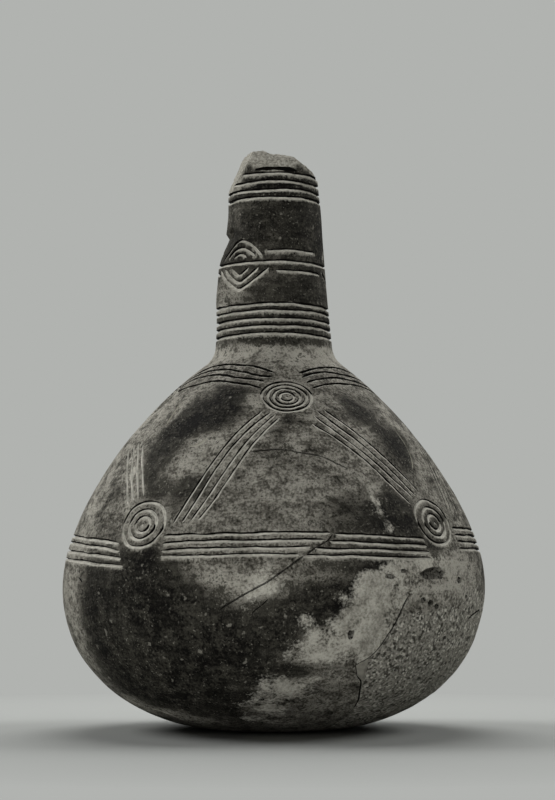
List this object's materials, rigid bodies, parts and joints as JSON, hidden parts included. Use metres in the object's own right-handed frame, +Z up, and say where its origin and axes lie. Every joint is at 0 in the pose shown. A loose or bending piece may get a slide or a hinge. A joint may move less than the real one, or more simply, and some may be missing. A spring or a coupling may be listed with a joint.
{
  "type": "bottle vase",
  "caption": "Round-bellied earthenware bottle vase with a tapering neck, a broken mouth and incised bands, stripes and ringed discs filled with white paste, on a small flat base.",
  "frame": {"origin": "middle of the flat resting face under the base", "axes": "+Z up along the neck; -Y is the front of the vase as pictured, +X its right-hand side"},
  "size_m": [0.176, 0.176, 0.24],
  "materials": {
    "burnished_clay": "burnished, worn",
    "faded_clay": "rubbed, matte",
    "gritty_clay": "coarse, slip lost",
    "lime_paste": "chalky",
    "plaster": "matte"
  },
  "bodies": {
    "root": {"body": "burnished_clay", "luting_collar": "faded_clay", "neck": "burnished_clay", "front_panel_sherd": "faded_clay", "lower_front_sherd": "burnished_clay", "gap_fill": "plaster", "lower_right_sherd": "gritty_clay", "neck_top_band_inlay": "lime_paste", "neck_middle_band_inlay": "lime_paste", "neck_base_band_inlay": "lime_paste", "neck_lozenge_inlay_front": "lime_paste", "neck_lozenge_inlay_right": "lime_paste", "neck_lozenge_inlay_back": "lime_paste", "shoulder_band_inlay_front_right": "lime_paste", "shoulder_band_inlay_back_right": "lime_paste", "shoulder_band_inlay_back_left": "lime_paste", "shoulder_band_inlay_front_left": "lime_paste", "upper_disc_inlay_front": "lime_paste", "upper_disc_inlay_right": "lime_paste", "upper_disc_inlay_back": "lime_paste", "upper_disc_inlay_left": "lime_paste", "left_stripe_inlay_front": "lime_paste", "left_stripe_inlay_right": "lime_paste", "left_stripe_inlay_back": "lime_paste", "left_stripe_inlay_left": "lime_paste", "right_stripe_inlay_front": "lime_paste", "right_stripe_inlay_right": "lime_paste", "right_stripe_inlay_back": "lime_paste", "right_stripe_inlay_left": "lime_paste", "waist_disc_inlay_front_right": "lime_paste", "waist_disc_inlay_back_right": "lime_paste", "waist_disc_inlay_back_left": "lime_paste", "waist_disc_inlay_front_left": "lime_paste", "waist_band_inlay_front": "lime_paste", "waist_band_inlay_right": "lime_paste", "waist_band_inlay_back": "lime_paste", "waist_band_inlay_left": "lime_paste"}
  },
  "joints": []
}
